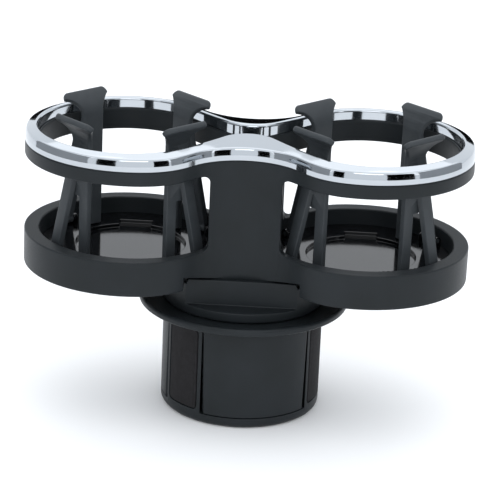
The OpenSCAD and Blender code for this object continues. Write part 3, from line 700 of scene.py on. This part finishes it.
def makeStrip():
    rings = []
    for z, left, right, half, edge in stripRows():
        outline = roundedRectangle((right - left) / 2, half, min(edge, half - hair),
                                   ((left + right) / 2, 0), 22.5)
        rings.append([stripPoint(y, depth, z) for y, depth in outline])
    # each end is closed by a ring whose points all lie in its middle
    foot, lip = ([tuple(sum(axis) / len(ring) for axis in zip(*ring))] * len(ring)
                 for ring in (rings[0], rings[-1]))
    return addRings("strip", [foot] + rings + [lip])


def braceFront():
    half, low, high = claw["legWide"] / 2, footAside, claw["braceAside"]
    under, slantHigh = plateTop - 2 * claw["knuckle"], pivot.y + claw["knuckle"]
    endHigh = braceAt(1, claw["back"])[1].y + sunk
    return [(low - half, under), (low + half, under), (low + half, slantHigh), (high + half, endHigh),
            (high - half, endHigh), (low - half, slantHigh)]


def makeClaw():
    piece = makeStrip()
    brace = combine(addPrism("brace", braceSide(), -far, far, "y"),
                    addPrism("front", braceFront(), 0, far, "x"), "INTERSECT")
    half, pinHalf = claw["legWide"] / 2, claw["pinHalf"]
    weld(brace, addPrism("knuckle", arcPoints(pivot, claw["knuckle"], 0, 350, 10), footAside - half,
                         footAside + half, "y"))
    smoothFaces(faceOutwards(weld(piece, roundEdges(brace, claw["edge"]))))
    pin = addPrism("pin", arcPoints(pivot, claw["pin"], 0, 345, 15), footAside - pinHalf,
                   footAside + pinHalf, "y")
    return joinPieces([piece, roundEdges(pin, claw["pinEdge"], 2)], "claw")


# The foot stands on the side of the well's long axis, so every second claw is mirrored
clawModels = {False: makeClaw()}
clawModels[True] = mirrorPiece(copyPiece(clawModels[False], "clawMirrored"))
clawTurns = {"left": {"front_outer": 225, "front_inner": 315, "back_outer": 135, "back_inner": 45},
             "right": {"front_outer": 315, "front_inner": 225, "back_outer": 45, "back_inner": 135}}
for word, side in (("left", -1), ("right", 1)):
    for place, turn in clawTurns[word].items():
        node = "claw_" + word + "_" + place
        name = "claw" + word.capitalize() + "".join(p.capitalize() for p in place.split("_"))
        piece = copyPiece(clawModels[turn % 180 == 45], name, turn, (side * halfPitch, 0, 0))
        settle(piece, node, clawPlastic, "claw_plastic", node)
for model in clawModels.values():
    bpy.data.objects.remove(model)
print("claws made")


# Swivel mount: a round block with a ledge, flat faces and two tabs, hollow inside

mount = {"radius": 36.9, "low": 51.3, "ledge": 56.0, "flat": 27.1, "wall": 2.5, "floor": 54.3,
         "foot": 1.2, "tabTop": 67.7, "tabThick": 2.2, "tabSlant": 0.6, "tabInset": 0.3,
         "screwX": 18, "screwY": 12, "pillar": 3.2, "edge": 0.45}


def tabEndOutline(side):
    # what is cut off at one end of both tabs, with their upper corner slanted
    half = math.sqrt(mount["radius"] ** 2 - mount["flat"] ** 2) - mount["tabInset"]
    top, slant = mount["tabTop"], mount["tabSlant"]
    points = [(-far, mountTop), (-half, mountTop), (-half, top - 2 * slant), (slant - half, top),
              (slant - half, far), (-far, far)]
    return [(side * x, z) for x, z in points]


def makeMount():
    r, low, floor, foot, flat = (mount[key] for key in ("radius", "low", "floor", "foot", "flat"))
    footLine = [tuple(p) for p in arcPoints((r - foot, low + foot), foot, 270, 360, 15)]
    piece = addLathe("swivelMount", [(0, low)] + footLine + [(r, mount["tabTop"]), (0, mount["tabTop"])],
                     count=150)
    end = mount["tabTop"] + over
    for side in (-1, 1):
        y0, y1 = sorted((side * flat, side * far))
        cut(piece, addPrism("flat", box(-far, far, y0, y1), mount["ledge"], end))
    between = flat - mount["tabThick"]
    cut(piece, addPrism("between", box(-far, far, -between, between), mountTop, end))
    for side in (-1, 1):
        cut(piece, addPrism("tabEnd", tabEndOutline(side), -far, far, "y"))
    inner, half = r - mount["wall"], flat - mount["wall"]
    inside = addLathe("inside", [(0, floor), (inner, floor), (inner, mountTop + over),
                                 (0, mountTop + over)])
    combine(inside, addPrism("slab", box(-far, far, -half, half), low, end), "INTERSECT")
    cut(piece, inside)
    for x in (-mount["screwX"], mount["screwX"]):
        for y in (-mount["screwY"], mount["screwY"]):
            pillar = addPrism("pillar", arcPoints((x, y), mount["pillar"], 0, 345, 15), floor - sunk,
                              mountTop)
            weld(piece, cut(pillar, addPrism("hole", arcPoints((x, y), screwHole, 0, 340, 20),
                                             floor + over, mountTop + over)))
    cut(piece, addPrism("boltHole", arcPoints((0, 0), boltHole, 0, 350, 10), low - over, floor + over))
    return roundEdges(piece, mount["edge"])


swivelMount = makeMount()
settle(swivelMount, "holder", satinAbs, "satin_plastic", "swivel_mount")
print("swivel mount made")


# Grip wheel: a thin dish with a rolled rim and a hub below

wheel = {"low": 48.6, "floor": 51.0, "flat": 38.5, "radius": 47.9, "rimLow": 49.3, "rim": 1.3,
         "rimTop": 52.7, "rimInside": 52.2, "hub": 11, "hubLow": 43.7, "hubEdge": 0.4,
         "bend": (0.6, 0.1), "dishFrom": 39.5, "smooth": 35}


def makeWheel():
    # the profile runs from the bolt's hole down the hub, out to the rim and back over the dish
    low, flat, rim, hub, hubLow = (wheel[key] for key in ("low", "flat", "rim", "hub", "hubLow"))
    middle, edge, bend = wheel["radius"] - rim, wheel["hubEdge"], wheel["bend"]
    bead = (arcPoints((middle, wheel["rimLow"] + rim), rim, -60, 0, 15)
            + arcPoints((middle, wheel["rimTop"] - rim), rim, 0, 120, 15))
    profile = ([(boltHole, hubLow), (hub - edge, hubLow), (hub, hubLow + edge), (hub, low), (flat, low),
                (flat + bend[0], low + bend[1])]
               + [tuple(p) for p in bead]
               + [(middle - rim, wheel["rimInside"]), (wheel["dishFrom"], wheel["floor"]),
                  (boltHole, wheel["floor"])])
    return smoothFaces(addLathe("gripWheel", profile, count=180, closed=True), wheel["smooth"])


gripWheel = makeWheel()
settle(gripWheel, "expander", satinAbs, "satin_plastic", "grip_wheel")
print("wheel made")


# Plug: cup with three posts, three shoes that move out between them, and three pads

plug = {"radius": 36.5, "edge": 3, "rimHigh": 5, "floor": 4, "postWall": 3.5, "postTop": 45.7,
        "shoeTurn": -75, "shoeHalf": 24.42, "gapFrom": 15, "boss": 10, "bossTop": 34,
        "pillarAt": 30.2, "pillar": 3.2, "hexRoom": 7.8, "hexTop": 6.0, "screwLow": 17,
        "railFrom": 13.3, "railTo": 32, "railGap": 4.3, "railThick": 2.2, "railTop": 8.0,
        "rounding": 0.35}
pad = {"half": 8.78, "low": 6.6, "top": 44.6, "thick": 1.2, "corner": 1.6, "groove": 0.4, "edge": 0.35}
shoe = {"low": 5.4, "top": 45.5, "wall": 2.5, "slotTop": 0.55, "slotFoot": 1.5, "armLow": 37.3,
        "armTop": 40.4, "armHalf": 4.5, "armFrom": 11, "footFrom": 13.3, "footHalf": 4,
        "footTop": 9.4, "rib": 2, "pin": 1.8, "pinAt": 14.5, "pinTop": 43.4, "edge": 0.25}
shoeNames = ("front", "right", "left")  # in the order of their turns, as the pads
padNames = ("left", "right", "back")


def turned(piece, degrees):
    piece.data.transform(Matrix.Rotation(math.radians(degrees), 4, "Z"))
    return piece


def padBlock(inner, outer, grow):
    # curved slab between two radii with rounded corners, facing +X
    middle, halfHigh = (pad["low"] + pad["top"]) / 2, (pad["top"] - pad["low"]) / 2
    outline = roundedRectangle(pad["half"] + grow, halfHigh + grow, pad["corner"] + grow, (0, middle))
    slab = addPrism("slab", outline, 0, far, "x")
    tube = addLathe("tube", [(inner, 0), (outer, 0), (outer, far), (inner, far)], count=240, closed=True)
    return combine(tube, slab, "INTERSECT")


def makeCup():
    r, edge, top, floor, bossTop = (plug[key] for key in ("radius", "edge", "postTop", "floor", "bossTop"))
    inner, foot = r - plug["postWall"], floor - sunk
    rim = [tuple(p) for p in arcPoints((r - edge, edge), edge, 270, 360, 10)]
    piece = addLathe("baseCup", [(0, 0)] + rim + [(r, top), (inner, top), (inner, floor), (0, floor)],
                     count=180)
    for i in range(3):
        turn = plug["shoeTurn"] + 120 * i
        gapLine = box(plug["gapFrom"], far, -plug["shoeHalf"], plug["shoeHalf"])
        cut(piece, turned(addPrism("gap", gapLine, plug["rimHigh"], far), turn))
        cut(piece, turned(padBlock(r - pad["thick"], r + over, pad["groove"]), turn - 60))
        at = polar(plug["pillarAt"], turn - 60)
        pillar = addPrism("pillar", arcPoints(at, plug["pillar"], 0, 345, 15), foot, bossTop)
        weld(piece, cut(pillar, addPrism("hole", arcPoints(at, screwHole, 0, 340, 20), plug["screwLow"],
                                         bossTop + over)))
        for side in (-1, 1):
            y0, y1 = sorted((side * plug["railGap"], side * (plug["railGap"] + plug["railThick"])))
            rail = addPrism("rail", box(plug["railFrom"], plug["railTo"], y0, y1), foot, plug["railTop"])
            weld(piece, turned(rail, turn))
    weld(piece, addPrism("boss", arcPoints((0, 0), plug["boss"], 0, 354, 6), foot, bossTop))
    cut(piece, addPrism("bolt", arcPoints((0, 0), boltHole, 0, 350, 10), -over, bossTop + over))
    cut(piece, addPrism("hex", arcPoints((0, 0), plug["hexRoom"], 0, 300, 60), -over, plug["hexTop"]))
    return roundEdges(piece, plug["rounding"], 2)


def makeShoe():
    r, low, top = plug["radius"], shoe["low"], shoe["top"]
    armLow, armTop = shoe["armLow"], shoe["armTop"]
    inner, middle = r - shoe["wall"], r - shoe["wall"] / 2
    halfFoot, halfTop = (plug["shoeHalf"] - shoe[key] for key in ("slotFoot", "slotTop"))
    piece = addLathe("shoe", [(inner, low), (r, low), (r, top), (inner, top)], count=240, closed=True)
    gateLine = [(-halfFoot, 0), (halfFoot, 0), (halfTop, plug["postTop"]), (-halfTop, plug["postTop"])]
    combine(piece, addPrism("gate", gateLine, 0, far, "x"), "INTERSECT")
    arm, foot, rib = shoe["armHalf"], shoe["footHalf"], shoe["rib"]
    weld(piece, addPrism("arm", box(shoe["armFrom"], middle, -arm, arm), armLow, armTop))
    weld(piece, addPrism("foot", box(shoe["footFrom"], middle, -foot, foot), low, shoe["footTop"]))
    weld(piece, addPrism("rib", box(inner - 2 * rib, middle, -rib / 2, rib / 2), low + sunk, armLow + sunk))
    pinLine = arcPoints((shoe["pinAt"], 0), shoe["pin"], 0, 345, 15)
    weld(piece, addPrism("pin", pinLine, armTop - sunk, shoe["pinTop"]))
    return roundEdges(piece, shoe["edge"])


baseCup = makeCup()
settle(baseCup, "base", satinAbs, "satin_plastic", "base_cup")
shoeModel = makeShoe()
for i, word in enumerate(shoeNames):
    piece = copyPiece(shoeModel, "shoe" + word.capitalize(), plug["shoeTurn"] + 120 * i)
    settle(piece, "shoe_" + word, satinAbs, "satin_plastic", "shoe_" + word)
padModel = roundEdges(padBlock(plug["radius"] - pad["thick"], plug["radius"], 0), pad["edge"])
for i, word in enumerate(padNames):
    piece = copyPiece(padModel, "gripPad" + word.capitalize(), plug["shoeTurn"] - 60 + 120 * i)
    settle(piece, "base", rubber, "pad_rubber", "grip_pad_" + word)
bpy.data.objects.remove(shoeModel)
bpy.data.objects.remove(padModel)
print("plug made")


# CAD nodes that stay as they are get their finish

carried = {"satin_plastic": (satinAbs, ("base_lid", "bottom_cover")),
           "inner_plastic": (innerPlastic, ("guide_plate", "cam_plate")),
           "zinc_steel": (zinc, ("lid_screws", "cam_screws", "mount_screws", "cover_screws",
                                 "pivot_bolt", "pivot_washer", "pivot_nut"))}
for slotName, (finish, nodes) in carried.items():
    for node in nodes:
        cadNodes[node].data.materials.clear()
        cadNodes[node].data.materials.append(finish)
print("carried nodes finished")


# Floor, lights, cards and camera, all places in metres

studio = {"floorSize": 8, "floorColour": "#ffffff", "worldStrength": 1.22, "worldColour": "#f6faff",
          "aim": (0, 0, 0.09)}
softboxes = {"topSoftbox": {"place": (0, 0.1, 1.3), "size": (1.2, 1.2), "power": 2.6},
             "backSoftbox": {"place": (0, 0.85, 1.15), "size": (1.6, 0.5), "power": 1.4},
             "leftSoftbox": {"place": (-1.1, -0.7, 0.7), "size": (0.7, 0.9), "power": 1.2},
             "rightSoftbox": {"place": (1.1, -0.5, 0.7), "size": (0.7, 0.9), "power": 1.2},
             "frontSoftbox": {"place": (0.1, -1.4, 0.9), "size": (0.8, 0.5), "power": 2}}
# turns count from the front, to the right where positive
cards = {"leftCard": {"turns": (-17, -36), "away": 0.58, "high": (0.11, 0.36), "colour": "#060606"},
         "rightCard": {"turns": (25, 52), "away": 0.58, "high": (0.11, 0.36), "colour": "#060606"},
         "leftSide": {"turns": (-44, -112), "away": 0.8, "high": (0, 0.6), "colour": "#97999b"},
         "rightSide": {"turns": (57, 112), "away": 0.8, "high": (0, 0.6), "colour": "#97999b"},
         "backCard": {"turns": (157, 203), "away": 0.8, "high": (0, 0.28), "colour": "#0a0a0a"}}
view = {"lens": 173.8, "sensor": 36, "shift": (0.0114, 0.0534), "back": (0.02855, -0.93492, 0.35369),
        "right": (0.99953, 0.03052, 0), "roll": 2.52, "aim": (0, 0, 0.06), "away": 1.1046}


# White painted board under the object: matt and even, so that only the shadow shows on it
def paintedBoard():
    finish, tree = newFinish("paintedBoard")
    showShader(tree, addNode(tree, "ShaderNodeBsdfPrincipled", Base_Color=linear(studio["floorColour"]),
                             Roughness=0.6))
    return finish


# Matt card, dyed black or grey right through: the chrome shows it as an even patch
def mattCard(colour):
    finish, tree = newFinish("mattCard")
    showShader(tree, addNode(tree, "ShaderNodeBsdfDiffuse", Color=linear(colour)))
    return finish


def addFloor():
    deselectAll()
    bpy.ops.mesh.primitive_plane_add(size=studio["floorSize"])
    floor = bpy.context.object
    floor.name = "studioFloor"
    floor.data.materials.append(paintedBoard())
    return floor


def addSoftbox(name):
    softbox = softboxes[name]
    light = bpy.data.lights.new(name, "AREA")
    light.shape = "RECTANGLE"
    light.size, light.size_y = softbox["size"]
    light.energy = softbox["power"]
    lamp = bpy.data.objects.new(name, light)
    bpy.context.scene.collection.objects.link(lamp)
    lamp.location = softbox["place"]
    lamp.rotation_euler = (Vector(studio["aim"]) - lamp.location).to_track_quat("-Z", "Y").to_euler()
    return lamp


def addCard(name):
    # out of the picture, and only seen as a patch in the chrome and the gloss
    side = cards[name]
    deselectAll()
    bpy.ops.mesh.primitive_plane_add(size=1)
    card = bpy.context.object
    card.name = name
    edges = [side["away"] * polar(1, turn - 90) for turn in side["turns"]]
    corners = [(p.x, p.y, z) for z in side["high"] for p in edges]
    for vertex, corner in zip(card.data.vertices, corners):
        vertex.co = corner
    card.visible_camera = card.visible_diffuse = card.visible_shadow = False
    card.data.materials.append(mattCard(side["colour"]))
    return card


def addCamera():
    # fitted to the photo, in which the object stands turned a little about the line of sight
    lens = bpy.data.cameras.new("photoCamera")
    lens.lens, lens.sensor_width = view["lens"], view["sensor"]
    lens.shift_x, lens.shift_y = view["shift"]
    camera = bpy.data.objects.new("photoCamera", lens)
    bpy.context.scene.collection.objects.link(camera)
    back, right = Vector(view["back"]).normalized(), Vector(view["right"]).normalized()
    up, roll = back.cross(right), math.radians(view["roll"])
    sideways = right * math.cos(roll) + up * math.sin(roll)
    upwards = up * math.cos(roll) - right * math.sin(roll)
    turn = Matrix((sideways, upwards, back)).transposed().to_4x4()
    camera.matrix_world = Matrix.Translation(Vector(view["aim"]) + back * view["away"]) @ turn
    bpy.context.scene.camera = camera


addFloor()
for name in softboxes:
    addSoftbox(name)
for name in cards:
    addCard(name)
world = bpy.data.worlds.new("paleRoom")
bpy.context.scene.world = world
world.use_nodes = True
background = world.node_tree.nodes["Background"]
background.inputs["Color"].default_value = linear(studio["worldColour"])
background.inputs["Strength"].default_value = studio["worldStrength"]
bpy.context.scene.view_settings.view_transform = "Standard"
addCamera()
print("floor, lights and camera set")
